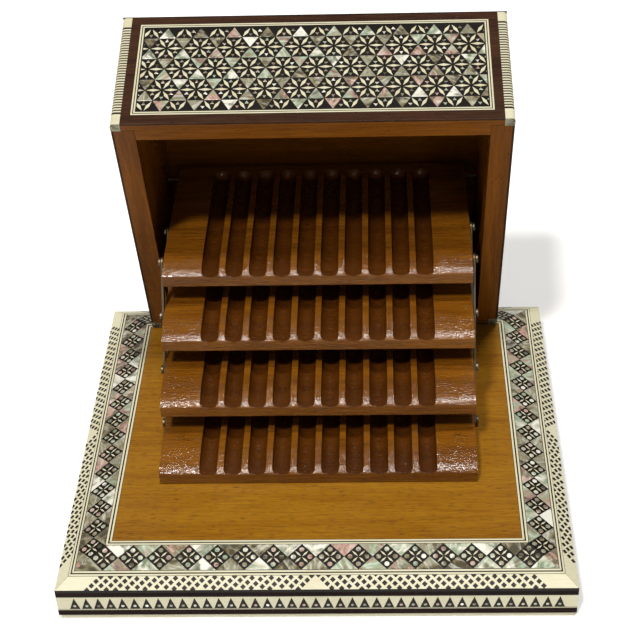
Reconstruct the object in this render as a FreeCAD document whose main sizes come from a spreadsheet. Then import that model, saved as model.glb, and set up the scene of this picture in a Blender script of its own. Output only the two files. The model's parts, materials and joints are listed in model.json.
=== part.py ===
"""Inlaid wooden cigarette box: a bordered base, four rising trays and a tipping case.

Every length is in millimetres. The box stands open: the case is tipped back on its
rear rim edge and the four grooved trays are stepped out like stairs on four links.
"""
import FreeCAD, Part
import math
import os
import Sketcher

doc = FreeCAD.newDocument("inlaid_box")
sheet = doc.addObject("Spreadsheet::Sheet", "sizes")

SIZES = [
    # base board and its inlaid border
    ("field_width", "176"), ("field_depth", "150"), ("base_height", "24.5"),
    ("field_thickness", "3"), ("band_thickness", "1.5"),
    ("inner_line_width", "2.7"), ("pearl_width", "11.9"),
    ("outer_line_width", "2.5"), ("lattice_width", "5.4"),
    ("pearl_drop", "3.1"), ("line_drop", "0.7"), ("lattice_drop", "3.05"),
    ("board_thickness", "2.6"), ("board_inset", "0.8"), ("rail_height", "3.1"),
    ("edge_inlay_height", "8.5"), ("edge_inlay_thickness", "1.2"),
    # trays
    ("tray_width", "142"), ("tray_length", "90"), ("tray_thickness", "9.6"),
    ("tray_nose", "4"), ("tray_edge", "0.8"),
    ("groove_count", "10"), ("groove_pitch", "10.9"), ("groove_width", "8.1"),
    ("groove_depth", "4.2"), ("groove_end_land", "5.5"),
    ("nail_across", "63"), ("nail_along", "22"), ("nail_radius", "0.7"),
    ("nail_head_radius", "1.6"), ("nail_head_height", "0.5"), ("nail_depth", "21.6"),
    # links, pins and wire
    ("link_step", "25"), ("link_lean", "31 deg"), ("swing", "74 deg"),
    ("link_width", "4.8"), ("link_thickness", "1"), ("link_side_gap", "0.3"),
    ("pin_shift", "9.5"), ("pin_low", "3"), ("front_pin_along", "38.5"),
    ("rear_pin_along", "64.5"), ("pin_radius", "0.8"), ("pin_head_radius", "2"),
    ("pin_head_height", "1"), ("pin_sink", "10"), ("turning_gap", "0.05"),
    ("wire_height", "4.2"), ("wire_setback", "4.05"), ("wire_bite", "5"),
    # case
    ("case_gap", "0.75"), ("case_lift", "0.1"), ("case_height", "67.5"),
    ("wall_thickness", "10.2"), ("skin_thickness", "1"), ("top_thickness", "3.5"),
    ("top_skin", "1.2"), ("top_bevel", "0.6"), ("bead_size", "4.3"), ("bead_round", "1.8"),
    ("frame_side", "4.3"), ("frame_low", "5.3"), ("panel_height", "56.5"),
]
for row, (alias, text) in enumerate(SIZES, start=1):
    sheet.set("A%d" % row, alias)
    sheet.set("B%d" % row, text)
    sheet.setAlias("B%d" % row, alias)
doc.recompute()


class Size:
    """A length that knows both its number and the sheet formula behind it."""

    def __init__(self, value, text):
        self.value, self.text = value, text

    @staticmethod
    def of(other):
        return other if isinstance(other, Size) else Size(float(other), repr(float(other)))

    def join(self, other, sign, value):
        return Size(value, "(%s %s %s)" % (self.text, sign, Size.of(other).text))

    def __add__(self, other):
        return self.join(other, "+", self.value + Size.of(other).value)

    def __sub__(self, other):
        return self.join(other, "-", self.value - Size.of(other).value)

    def __mul__(self, other):
        return self.join(other, "*", self.value * Size.of(other).value)

    def __truediv__(self, other):
        return self.join(other, "/", self.value / Size.of(other).value)

    def __neg__(self):
        return self * -1


def size(alias):
    number = sheet.get(alias)
    return Size(float(getattr(number, "Value", number)), "sizes.%s" % alias)


def sine(angle):
    return Size(math.sin(math.radians(angle.value)), "sin(%s)" % angle.text)


def cosine(angle):
    return Size(math.cos(math.radians(angle.value)), "cos(%s)" % angle.text)


ZERO = Size.of(0)
V = {alias: size(alias) for alias, _ in SIZES}


def bind(obj, prop, amount):
    obj.setExpression(prop, Size.of(amount).text)


def put(obj, x=ZERO, y=ZERO, z=ZERO, turn=None, axis=(1, 0, 0)):
    """Place an object with its corner or origin at x, y, z and turned about one axis."""
    x, y, z = Size.of(x), Size.of(y), Size.of(z)
    angle = Size.of(turn) if turn is not None else ZERO
    obj.Placement = FreeCAD.Placement(FreeCAD.Vector(x.value, y.value, z.value),
                                      FreeCAD.Rotation(FreeCAD.Vector(*axis), angle.value))
    for letter, amount in zip("xyz", (x, y, z)):
        bind(obj, "Placement.Base.%s" % letter, amount)
    if isinstance(turn, Size):
        bind(obj, "Placement.Rotation.Angle", turn)
    return obj


def box(name, x, y, z):
    """Block spanning three (low, high) pairs."""
    obj = doc.addObject("Part::Box", name)
    for prop, (low, high) in zip(("Length", "Width", "Height"), (x, y, z)):
        bind(obj, prop, Size.of(high) - low)
    return put(obj, x[0], y[0], z[0])


def rod(name, radius, start, length, y, z, side=1):
    """Cylinder lying along X from start, pointing outwards on the given side."""
    obj = doc.addObject("Part::Cylinder", name)
    bind(obj, "Radius", radius)
    bind(obj, "Height", length)
    return put(obj, start, y, z, turn=90 * side, axis=(0, 1, 0))


def post(name, radius, x, y, low, height):
    obj = doc.addObject("Part::Cylinder", name)
    bind(obj, "Radius", radius)
    bind(obj, "Height", height)
    return put(obj, x, y, low)


def fuse(name, shapes):
    obj = doc.addObject("Part::MultiFuse", name)
    obj.Shapes = shapes
    return obj


def cut(name, base, tools):
    obj = doc.addObject("Part::Cut", name)
    obj.Base = base
    obj.Tool = tools[0] if len(tools) == 1 else fuse(name + "_tools", tools)
    return obj


def new_body(name):
    return doc.addObject("PartDesign::Body", name)


def plane_of(body, role):
    return [f for f in body.Origin.OriginFeatures if f.Role == role][0]


def new_sketch(body, name, plane="XY_Plane", offset=ZERO):
    sketch = body.newObject("Sketcher::SketchObject", name)
    sketch.AttachmentSupport = [(plane_of(body, plane), "")]
    sketch.MapMode = "FlatFace"
    offset = Size.of(offset)
    sketch.AttachmentOffset = FreeCAD.Placement(FreeCAD.Vector(0, 0, offset.value),
                                                FreeCAD.Rotation())
    sketch.setExpression("AttachmentOffset.Base.z", offset.text)
    return sketch


def pin_point(sketch, geometry, position, x=None, y=None):
    """Hold one sketch point at x, y (or at one of them) from the sketch origin."""
    for kind, amount in (("DistanceX", x), ("DistanceY", y)):
        if amount is None:
            continue
        amount = Size.of(amount)
        index = sketch.addConstraint(Sketcher.Constraint(
            kind, -1, 1, geometry, position, amount.value))
        sketch.setExpression("Constraints[%d]" % index, amount.text)


def polygon(sketch, points):
    points = [(Size.of(x), Size.of(y)) for x, y in points]
    first = sketch.GeometryCount
    for here, there in zip(points, points[1:] + points[:1]):
        sketch.addGeometry(Part.LineSegment(
            FreeCAD.Vector(here[0].value, here[1].value, 0),
            FreeCAD.Vector(there[0].value, there[1].value, 0)), False)
    for i in range(len(points)):
        sketch.addConstraint(Sketcher.Constraint(
            "Coincident", first + i, 2, first + (i + 1) % len(points), 1))
    for i, (x, y) in enumerate(points):
        pin_point(sketch, first + i, 1, x, y)


def rectangle(sketch, x, y):
    polygon(sketch, [(x[0], y[0]), (x[1], y[0]), (x[1], y[1]), (x[0], y[1])])


def circle(sketch, x, y, radius):
    x, y, radius = Size.of(x), Size.of(y), Size.of(radius)
    index = sketch.addGeometry(Part.Circle(FreeCAD.Vector(x.value, y.value, 0),
                                           FreeCAD.Vector(0, 0, 1), radius.value), False)
    pin_point(sketch, index, 3, x, y)
    held = sketch.addConstraint(Sketcher.Constraint("Radius", index, radius.value))
    sketch.setExpression("Constraints[%d]" % held, radius.text)


def pad(body, sketch, length, middle=False):
    doc.recompute()
    feature = body.newObject("PartDesign::Pad", sketch.Name + "_pad")
    feature.Profile = sketch
    bind(feature, "Length", length)
    feature.Midplane = middle
    sketch.Visibility = False
    body.Tip = feature
    doc.recompute()
    return feature


def pocket(body, sketch, length=None, reverse=False):
    """Cut a sketch to a depth, or through everything both ways when no depth is given."""
    doc.recompute()
    before = body.Shape.Volume
    feature = body.newObject("PartDesign::Pocket", sketch.Name + "_pocket")
    feature.Profile = sketch
    if length is None:
        feature.Type = "ThroughAll"
        feature.Midplane = True
    else:
        bind(feature, "Length", length)
        feature.Reversed = reverse
    sketch.Visibility = False
    body.Tip = feature
    doc.recompute()
    assert body.Shape.Volume < before - 1e-6, "%s removes nothing" % feature.Name
    return feature


def soften(body, base, kind, amount, wanted):
    """Fillet or chamfer the edges picked out by a test on their middle point."""
    names = []
    for i, edge in enumerate(base.Shape.Edges, start=1):
        middle = edge.valueAt((edge.FirstParameter + edge.LastParameter) / 2)
        if wanted(middle, edge):
            names.append("Edge%d" % i)
    assert names, "no edge to soften on %s" % body.Name
    feature = body.newObject("PartDesign::%s" % kind, "%s_%s_%s" % (body.Name, kind, base.Name))
    feature.Base = (base, names)
    bind(feature, "Radius" if kind == "Fillet" else "Size", amount)
    body.Tip = feature
    doc.recompute()
    return feature


NODES = []


def node(label, obj):
    obj.Label = label
    NODES.append((label, obj))
    return obj


# ---------------------------------------------------------------- base and border
half_w, half_d = V["field_width"] / 2, V["field_depth"] / 2
top = V["base_height"]
pin_bore = V["pin_radius"] + V["turning_gap"]
nail_bore = V["nail_radius"] + V["turning_gap"]

bands = []
offset, level = ZERO, top
for name, width, drop in (("field_line", "inner_line_width", None),
                          ("pearl_band", "pearl_width", "pearl_drop"),
                          ("outer_line", "outer_line_width", "line_drop"),
                          ("lattice_band", "lattice_width", "lattice_drop")):
    outer = offset + V[width]
    lower = level - V[drop] if drop else level
    bands.append((name, offset, outer, level, lower))
    offset, level = outer, lower
border = offset
shoulder = level

SIDES = (("front", 180, half_w, half_d), ("back", 0, half_w, half_d),
         ("right", -90, half_d, half_w), ("left", 90, half_d, half_w))


def mitred(name, turn, along, out, inner, outer, inner_z, outer_z):
    """Strip with mitred ends lying along one side of the field."""
    obj = doc.addObject("Part::Wedge", name)
    bind(obj, "Ymin", out + inner)
    bind(obj, "Ymax", out + outer)
    for prefix, reach, z in (("", inner, inner_z), ("2", outer, outer_z)):
        bind(obj, "X%smin" % prefix, -(along + reach))
        bind(obj, "X%smax" % prefix, along + reach)
        bind(obj, "Z%smin" % prefix, z[0])
        bind(obj, "Z%smax" % prefix, z[1])
    obj.Placement.Rotation = FreeCAD.Rotation(FreeCAD.Vector(0, 0, 1), turn)
    return obj


thick = V["band_thickness"]
for name, inner, outer, high, low in bands:
    for side, turn, along, out in SIDES:
        node("%s_%s" % (name, side),
             mitred("%s_%s" % (name, side), turn, along, out, inner, outer,
                    (high - thick, high), (low - thick, low)))

inlay_low = V["board_thickness"] + V["rail_height"]
inlay_high = inlay_low + V["edge_inlay_height"]
inlay_in = border - V["edge_inlay_thickness"]
for side, turn, along, out in SIDES:
    node("edge_inlay_%s" % side,
         mitred("edge_inlay_%s" % side, turn, along, out, inlay_in, border,
                (inlay_low, inlay_high), (inlay_low, inlay_high)))


def around(reach):
    return (-(half_w + reach), half_w + reach), (-(half_d + reach), half_d + reach)


def slab(name, reach, low, high):
    x, y = around(reach)
    return box(name, x, y, (low, high))


def hipped(name, inner, outer, low, high):
    """Block whose four sides lean in from the outer reach to the inner reach."""
    obj = doc.addObject("Part::Wedge", name)
    bind(obj, "Ymin", low)
    bind(obj, "Ymax", high)
    for prefix, reach in (("", outer), ("2", inner)):
        bind(obj, "X%smin" % prefix, -(half_w + reach))
        bind(obj, "X%smax" % prefix, half_w + reach)
        bind(obj, "Z%smin" % prefix, -(half_d + reach))
        bind(obj, "Z%smax" % prefix, half_d + reach)
    obj.Placement.Rotation = FreeCAD.Rotation(FreeCAD.Vector(1, 0, 0), 90)
    return obj


board = V["board_thickness"]
core_parts = [slab("core_foot", border, board, inlay_low),
              slab("core_waist", inlay_in, inlay_low, inlay_high),
              slab("core_rail", border, inlay_high, shoulder - thick)]
for name, inner, outer, high, low in bands[1:]:
    core_parts.append(hipped("core_under_" + name, inner, outer, low - thick, high - thick))
# The top tray hangs on the wire, and the wire swings round the case edge as the
# links swing round their lowest pins, so the trays are placed from the case edge.
wire_along = V["tray_length"] - V["wire_setback"]
tray_front = half_d - V["case_gap"] - V["pin_shift"] * 3 - wire_along
nail_spots = [(V["nail_across"] * s, tray_front + V["nail_along"]) for s in (-1, 1)]
nail_low = top + V["tray_thickness"] - V["nail_depth"]


def nail_tools(prefix):
    return [post("%s_hole_%d" % (prefix, i), nail_bore, x, y, nail_low,
                 V["nail_depth"]) for i, (x, y) in enumerate(nail_spots)]


core = fuse("core_blank", core_parts)
field_bed = slab("field_bed", ZERO, top - V["field_thickness"], top)
node("base_core", cut("base_core", core, [field_bed] + nail_tools("core")))
node("bottom_board", slab("bottom_board", border - V["board_inset"], ZERO, board))
node("field_panel", cut("field_panel",
                        slab("field_blank", ZERO, top - V["field_thickness"], top),
                        nail_tools("field")))

# ---------------------------------------------------------------- trays
lean, swing, step = V["link_lean"], V["swing"], V["link_step"]
rise = (V["wire_height"] - V["case_lift"]) / 3
step_y = step * sine(lean) + V["pin_shift"]
step_z = step * cosine(lean) - rise
side_x = V["tray_width"] / 2
groove_r = V["groove_width"] / 2
groove_centre = V["tray_thickness"] - V["groove_depth"] + groove_r
groove_stop = V["tray_length"] - V["groove_end_land"] - groove_r


def pin_places(k):
    """Along and height of the front and rear pins in tray k (0 is the lowest)."""
    height = V["pin_low"] + rise * k
    return [(V["front_pin_along"] - V["pin_shift"] * k, height),
            (V["rear_pin_along"] - V["pin_shift"] * k, height)]




def grooves(body):
    """Ten round-bottomed channels, open at the front and ball-ended at the back."""
    first_x = V["groove_pitch"] * (V["groove_count"] - 1) / -2
    channel = new_sketch(body, body.Name + "_channel", "XZ_Plane")
    high = V["tray_thickness"] + 1
    left, right = first_x - groove_r, first_x + groove_r
    for start, end in (((right, groove_centre), (right, high)), ((right, high), (left, high)),
                       ((left, high), (left, groove_centre))):
        channel.addGeometry(Part.LineSegment(
            FreeCAD.Vector(start[0].value, start[1].value, 0),
            FreeCAD.Vector(end[0].value, end[1].value, 0)), False)
    arc = Part.Circle(FreeCAD.Vector(first_x.value, groove_centre.value, 0),
                      FreeCAD.Vector(0, 0, 1), groove_r.value)
    channel.addGeometry(Part.ArcOfCircle(arc, math.pi, 2 * math.pi), False)
    for a, b in (((0, 2), (1, 1)), ((1, 2), (2, 1)), ((2, 2), (3, 1)), ((3, 2), (0, 1))):
        channel.addConstraint(Sketcher.Constraint("Coincident", a[0], a[1], b[0], b[1]))
    pin_point(channel, 0, 1, right, groove_centre)
    pin_point(channel, 0, 2, right, high)
    pin_point(channel, 2, 1, left, high)
    pin_point(channel, 2, 2, left, groove_centre)
    pin_point(channel, 3, 3, y=groove_centre)
    trough = pocket(body, channel, groove_stop)

    ball = new_sketch(body, body.Name + "_ball", "XZ_Plane", -groove_stop)
    middle = FreeCAD.Vector(first_x.value, groove_centre.value, 0)
    quarter = Part.ArcOfCircle(Part.Circle(middle, FreeCAD.Vector(0, 0, 1), groove_r.value),
                               1.5 * math.pi, 2 * math.pi)
    ball.addGeometry(quarter, False)
    low = groove_centre - groove_r
    for start, end in (((right, groove_centre), (right, high)),
                       ((right, high), (first_x, high)), ((first_x, high), (first_x, low))):
        ball.addGeometry(Part.LineSegment(
            FreeCAD.Vector(start[0].value, start[1].value, 0),
            FreeCAD.Vector(end[0].value, end[1].value, 0)), False)
    for a, b in (((0, 2), (1, 1)), ((1, 2), (2, 1)), ((2, 2), (3, 1)), ((3, 2), (0, 1))):
        ball.addConstraint(Sketcher.Constraint("Coincident", a[0], a[1], b[0], b[1]))
    pin_point(ball, 0, 3, y=groove_centre)
    pin_point(ball, 1, 1, right, groove_centre)
    pin_point(ball, 1, 2, right, high)
    pin_point(ball, 2, 2, first_x, high)
    pin_point(ball, 3, 2, first_x, low)
    doc.recompute()
    before = body.Shape.Volume
    end = body.newObject("PartDesign::Groove", body.Name + "_ball_end")
    end.Profile = ball
    end.ReferenceAxis = (ball, ["Edge4"])
    end.Angle = 360
    ball.Visibility = False
    body.Tip = end
    doc.recompute()
    assert body.Shape.Volume < before - 1e-6, "ball end removes nothing"

    before = body.Shape.Volume
    row = body.newObject("PartDesign::LinearPattern", body.Name + "_row")
    row.Originals = [trough, end]
    row.Direction = (channel, ["H_Axis"])
    bind(row, "Length", V["groove_pitch"] * (V["groove_count"] - 1))
    bind(row, "Occurrences", V["groove_count"])
    body.Tip = row
    doc.recompute()
    assert body.Shape.Volume < before - 1e-6, "row of grooves removes nothing"
    return row


def make_tray(k):
    body = new_body("tray_%d" % (k + 1))
    outline = new_sketch(body, body.Name + "_outline")
    rectangle(outline, (-side_x, side_x), (ZERO, V["tray_length"]))
    block = pad(body, outline, V["tray_thickness"])
    nose = soften(body, block, "Fillet", V["tray_nose"],
                  lambda m, e: abs(m.y) < 1e-6 and abs(m.z - V["tray_thickness"].value) < 1e-6)
    soften(body, nose, "Fillet", V["tray_edge"],
           lambda m, e: abs(m.z - V["tray_thickness"].value) < 1e-6
           and abs(m.y - V["tray_length"].value) < 1e-6
           or abs(m.z) < 1e-6 and abs(m.y) < 1e-6)
    grooves(body)
    for side, start in ((1, side_x), (-1, -side_x)):
        holes = new_sketch(body, "%s_pins_%s" % (body.Name, "right" if side > 0 else "left"),
                           "YZ_Plane", start)
        for along, height in pin_places(k):
            circle(holes, along, height, pin_bore)
        body.Tip = pocket(body, holes, V["pin_sink"], reverse=side < 0)
    if k == 3:
        bore = new_sketch(body, "wire_bore", "YZ_Plane")
        circle(bore, wire_along, V["wire_height"], pin_bore)
        body.Tip = pocket(body, bore)
    if k == 0:
        bore = new_sketch(body, "nail_bore")
        for x, y in nail_spots:
            circle(bore, x, V["nail_along"], nail_bore)
        body.Tip = pocket(body, bore)
    doc.recompute()
    return put(body, ZERO, tray_front + step_y * k, top + step_z * k)


for k in range(4):
    node("tray_%d" % (k + 1), make_tray(k))

nails = []
for i, (x, y) in enumerate(nail_spots):
    shank = post("nail_shank_%d" % i, V["nail_radius"], x, y, nail_low, V["nail_depth"])
    head = post("nail_head_%d" % i, V["nail_head_radius"], x, y, top + V["tray_thickness"],
                V["nail_head_height"])
    nails.append(fuse("nail_%d" % i, [shank, head]))
node("tray_nails", fuse("tray_nails", nails))

# ---------------------------------------------------------------- links, pins and wire
link_inner = side_x + V["link_side_gap"]
head_inner = link_inner + V["link_thickness"] + V["link_side_gap"] * 0.7
for k in range(4):
    pins = []
    for side in (1, -1):
        for j, (along, height) in enumerate(pin_places(k)):
            y, z = tray_front + step_y * k + along, top + step_z * k + height
            tag = "pin_%d_%d_%s" % (k + 1, j, "r" if side > 0 else "l")
            shank = rod(tag + "_shank", V["pin_radius"], (side_x - V["pin_sink"]) * side,
                        head_inner - side_x + V["pin_sink"], y, z, side)
            head = rod(tag + "_head", V["pin_head_radius"], head_inner * side,
                       V["pin_head_height"], y, z, side)
            pins.append(fuse(tag, [shank, head]))
    node("tray_%d_pins" % (k + 1), fuse("tray_%d_pins" % (k + 1), pins))


def make_link(name, along, side):
    """Flat bar with round ends and four holes, leaning back with the open trays."""
    body = new_body(name)
    start = link_inner if side > 0 else -(link_inner + V["link_thickness"])
    bar = new_sketch(body, name + "_bar", "YZ_Plane")
    half, length = V["link_width"] / 2, step * 3
    h, l = half.value, length.value
    lines = (((h, 0), (h, l)), ((-h, l), (-h, 0)))
    for (x0, y0), (x1, y1) in lines:
        bar.addGeometry(Part.LineSegment(FreeCAD.Vector(x0, y0, 0),
                                         FreeCAD.Vector(x1, y1, 0)), False)
    for centre, first in ((l, 0), (0, math.pi)):
        ring = Part.Circle(FreeCAD.Vector(0, centre, 0), FreeCAD.Vector(0, 0, 1), h)
        bar.addGeometry(Part.ArcOfCircle(ring, first, first + math.pi), False)
    for a, b in (((0, 2), (2, 1)), ((2, 2), (1, 1)), ((1, 2), (3, 1)), ((3, 2), (0, 1))):
        bar.addConstraint(Sketcher.Constraint("Coincident", a[0], a[1], b[0], b[1]))
    pin_point(bar, 0, 1, half, ZERO)
    pin_point(bar, 0, 2, half, length)
    pin_point(bar, 1, 1, -half, length)
    pin_point(bar, 1, 2, -half, ZERO)
    pin_point(bar, 2, 3, y=length)
    pin_point(bar, 3, 3, y=ZERO)
    pad(body, bar, V["link_thickness"])
    holes = new_sketch(body, name + "_holes", "YZ_Plane")
    for k in range(4):
        circle(holes, ZERO, step * k, pin_bore)
    body.Tip = pocket(body, holes)
    return put(body, start, tray_front + along, top + V["pin_low"], turn=-lean)


for pair, along in (("front", V["front_pin_along"]), ("rear", V["rear_pin_along"])):
    for hand, side in (("left", -1), ("right", 1)):
        label = "%s_link_%s" % (pair, hand)
        node(label, make_link(label, along, side))

inner_x = half_w - V["case_gap"] - V["wall_thickness"]
wire_half = inner_x + V["wire_bite"]
node("wire_axle", rod("wire_axle", V["pin_radius"], -wire_half, wire_half * 2,
                      tray_front + step_y * 3 + wire_along,
                      top + step_z * 3 + V["wire_height"]))

# ---------------------------------------------------------------- case
# The case is drawn closed, with its origin on the rear rim edge it tips on,
# and then turned back about that edge.
tip_y, tip_z = half_d - V["case_gap"], top + V["case_lift"]
case_x = half_w - V["case_gap"]
case_d = V["field_depth"] - V["case_gap"] * 2
high = V["case_height"]
skin, bead, wall = V["skin_thickness"], V["bead_size"], V["wall_thickness"]
skin_top = high - V["top_skin"]
roof = skin_top - V["top_thickness"]


def tipped(body):
    return put(body, ZERO, tip_y, tip_z, turn=-swing)


def end_wall(name, face, inward):
    """Front or back wall: a lip over the side walls outside, a narrower part inside."""
    body = new_body(name)
    skin_y = face + skin * inward
    lip_y = face + bead * inward
    inner_y = face + wall * inward
    lip_x = case_x - bead
    plan = new_sketch(body, name + "_plan")
    polygon(plan, [(-lip_x, skin_y), (lip_x, skin_y), (lip_x, lip_y), (inner_x, lip_y),
                   (inner_x, inner_y), (-inner_x, inner_y), (-inner_x, lip_y), (-lip_x, lip_y)])
    pad(body, plan, roof)
    return tipped(body)


def side_wall(name, side):
    body = new_body(name)
    plan = new_sketch(body, name + "_plan")
    rectangle(plan, (inner_x * side, (case_x - skin) * side), (-(case_d - bead), -bead))
    pad(body, plan, roof)
    bore = new_sketch(body, name + "_bore", "YZ_Plane", inner_x * side)
    circle(bore, -(step * 3 * sine(swing - lean)), step * 3 * cosine(swing - lean),
           pin_bore)
    body.Tip = pocket(body, bore, V["wire_bite"] + 0.3, reverse=side > 0)
    return tipped(body)


node("case_front_wall", end_wall("case_front_wall", -case_d, 1))
node("case_back_wall", end_wall("case_back_wall", ZERO, -1))
node("case_left_wall", side_wall("case_left_wall", -1))
node("case_right_wall", side_wall("case_right_wall", 1))

panel = new_body("case_top_panel")
plan = new_sketch(panel, "top_plan", "XY_Plane", roof)
outer_x, outer_f, outer_b = case_x - skin, -(case_d - skin), -skin
notch_x, notch_f, notch_b = case_x - bead, -(case_d - bead), -bead
polygon(plan, [(-notch_x, outer_f), (notch_x, outer_f), (notch_x, notch_f), (outer_x, notch_f),
               (outer_x, notch_b), (notch_x, notch_b), (notch_x, outer_b), (-notch_x, outer_b),
               (-notch_x, notch_b), (-outer_x, notch_b), (-outer_x, notch_f),
               (-notch_x, notch_f)])
pad(panel, plan, V["top_thickness"])
node("case_top_panel", tipped(panel))

for label, sx, face, inward in (("front_left", -1, -case_d, 1), ("front_right", 1, -case_d, 1),
                                ("back_left", -1, ZERO, -1), ("back_right", 1, ZERO, -1)):
    body = new_body("corner_bead_" + label)
    plan = new_sketch(body, body.Name + "_plan")
    rectangle(plan, ((case_x - bead) * sx, case_x * sx), (face, face + bead * inward))
    stick = pad(body, plan, skin_top)
    body.Tip = soften(body, stick, "Fillet", V["bead_round"],
                      lambda m, e: abs(abs(m.x) - case_x.value) < 1e-6
                      and abs(m.y - Size.of(face).value) < 1e-6
                      and abs(m.z - skin_top.value / 2) < 1e-6)
    node("corner_bead_" + label, tipped(body))


def sheet_body(name, plane, start, x, y, depth, hole=None):
    """Flat sheet on a plane, with an optional rectangular window."""
    body = new_body(name)
    face = new_sketch(body, name + "_face", plane, start)
    rectangle(face, x, y)
    if hole:
        rectangle(face, hole[0], hole[1])
    pad(body, face, depth)
    return body


panel_z = (V["frame_low"], V["frame_low"] + V["panel_height"])
for side, plane, start, span in (
        ("front", "XZ_Plane", case_d - skin, (-(case_x - bead), case_x - bead)),
        ("back", "XZ_Plane", ZERO, (-(case_x - bead), case_x - bead)),
        ("left", "YZ_Plane", -case_x, (-(case_d - bead), -bead)),
        ("right", "YZ_Plane", case_x - skin, (-(case_d - bead), -bead))):
    window = (span[0] + V["frame_side"], span[1] - V["frame_side"])
    node("frame_%s" % side, tipped(sheet_body(
        "frame_%s" % side, plane, start, span, (ZERO, skin_top), skin, (window, panel_z))))
    node("mosaic_%s" % side, tipped(sheet_body(
        "mosaic_%s" % side, plane, start, window, panel_z, skin)))

reach = ZERO
rings = []
for name, width in (("top_lattice", "lattice_width"), ("top_outer_line", "outer_line_width"),
                    ("top_pearl_band", "pearl_width"), ("top_inner_line", "inner_line_width")):
    rings.append((name, reach, reach + V[width]))
    reach = reach + V[width]


def top_span(inset):
    return (-(case_x - inset), case_x - inset), (-(case_d - inset), -inset)


for name, near, far in rings:
    x, y = top_span(near)
    body = sheet_body(name, "XY_Plane", skin_top, x, y, V["top_skin"], top_span(far))
    if name == "top_lattice":
        flat = body.Tip
        body.Tip = soften(body, flat, "Chamfer", V["top_bevel"],
                          lambda m, e: abs(m.z - high.value) < 1e-6
                          and (abs(abs(m.x) - case_x.value) < 1e-6 or abs(m.y) < 1e-6
                               or abs(m.y + case_d.value) < 1e-6))
    node(name, tipped(body))
x, y = top_span(reach)
node("top_mosaic", tipped(sheet_body("top_mosaic", "XY_Plane", skin_top, x, y, V["top_skin"])))

# ---------------------------------------------------------------- write the parts
doc.recompute()
for obj in doc.Objects:
    if "Invalid" in obj.State or "Error" in obj.State:
        raise ValueError("%s did not build: %s" % (obj.Name, obj.State))
os.makedirs("parts", exist_ok=True)
for label, obj in NODES:
    shape = obj.Shape
    if shape.isNull() or not shape.isValid() or not shape.Solids:
        raise ValueError("%s has no sound solid" % label)
    shape.exportStep("parts/%s.step" % label)
print("%d nodes written" % len(NODES))
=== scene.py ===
# %% [markdown]
# # An inlaid box whose trays rise like stairs
# The box stands open. Its case is tipped back on its rear edge, and four grooved trays
# step out of it on pinned metal links. The case and the border of the base are covered
# with a marquetry of mother-of-pearl, camel bone and ebony.
#
# The packed CAD model already has every solid piece in its place, in metres. This
# lesson gives those pieces their woods, rounds their worn edges, and lays the small
# tiles of the marquetry, which the CAD model leaves as plain sheets.

# %% Load the frame
import json
import math
import random

import bmesh
import bpy
from mathutils import Matrix, Vector


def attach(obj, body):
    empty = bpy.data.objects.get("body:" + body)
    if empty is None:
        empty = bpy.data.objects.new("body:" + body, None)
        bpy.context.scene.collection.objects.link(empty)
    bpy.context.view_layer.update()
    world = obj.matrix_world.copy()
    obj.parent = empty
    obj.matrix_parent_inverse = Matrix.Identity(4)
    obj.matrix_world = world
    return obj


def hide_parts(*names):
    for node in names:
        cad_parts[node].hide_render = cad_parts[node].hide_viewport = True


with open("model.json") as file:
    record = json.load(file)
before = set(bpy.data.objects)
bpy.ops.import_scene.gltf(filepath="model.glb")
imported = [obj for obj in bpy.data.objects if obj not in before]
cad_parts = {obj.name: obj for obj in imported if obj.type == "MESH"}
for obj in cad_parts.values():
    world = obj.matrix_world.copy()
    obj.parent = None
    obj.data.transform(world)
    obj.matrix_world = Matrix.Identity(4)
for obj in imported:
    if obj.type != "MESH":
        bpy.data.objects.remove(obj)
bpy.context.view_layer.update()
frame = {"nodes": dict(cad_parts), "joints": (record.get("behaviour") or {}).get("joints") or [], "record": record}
random.seed(7)
MM = 0.001

# %% [markdown]
# ## Where the case is
# The case is easiest to decorate as it sits when it is shut, square to the table. The
# joint record says which line it tips about and how far it is open, so one matrix
# carries anything drawn on the shut case to the open one.

# %% The tipped case
case_tip = next(joint for joint in frame["joints"] if joint["name"] == "case_tip")
open_angle = math.radians(case_tip["range_deg"][1])
tipped = Matrix.Translation(case_tip["pos_m"]) @ Matrix.Rotation(-open_angle, 4, "X")


def box_of(node, place=Matrix.Identity(4)):
    """Lowest and highest corners of a CAD piece, in millimetres, before place moved it."""
    undo = place.inverted()
    spots = [undo @ vert.co / MM for vert in frame["nodes"][node].data.vertices]
    return [Vector(pick(spot[axis] for spot in spots) for axis in range(3))
            for pick in (min, max)]


case_low, case_high = box_of("mosaic_front", tipped)
print("front panel of the shut case, mm:", case_low, case_high)

# %% [markdown]
# ## Small helpers for node trees
# Every finish is a tree of shader nodes. A few helpers keep the trees readable. The
# first adds a node and fills its sockets, the second sets up a material with its main
# shader, and each of the others stands for a step that is used often.


# %% Node helpers
def add(tree, kind, inputs=None, **settings):
    """Add a shader node. A socket is given a value, or another node's output."""
    node = tree.nodes.new(kind)
    for name, value in settings.items():
        setattr(node, name, value)
    for name, value in (inputs or {}).items():
        if isinstance(value, bpy.types.NodeSocket):
            tree.links.new(value, node.inputs[name])
        else:
            node.inputs[name].default_value = value
    return node


def new_material(name, **constants):
    """A material whose shader has these constants, with spaces written as underscores."""
    material = bpy.data.materials.new(name)
    material.use_nodes = True
    shader = material.node_tree.nodes["Principled BSDF"]
    for socket, value in constants.items():
        shader.inputs[socket.replace("_", " ")].default_value = value
    return material, material.node_tree, shader


def object_vector(tree, turn=(0, 0, 0)):
    """Object coordinates in metres, turned so that a piece's grain runs along X."""
    coords = add(tree, "ShaderNodeTexCoord")
    return add(tree, "ShaderNodeMapping",
               {"Vector": coords.outputs["Object"], "Rotation": turn}).outputs["Vector"]


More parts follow.
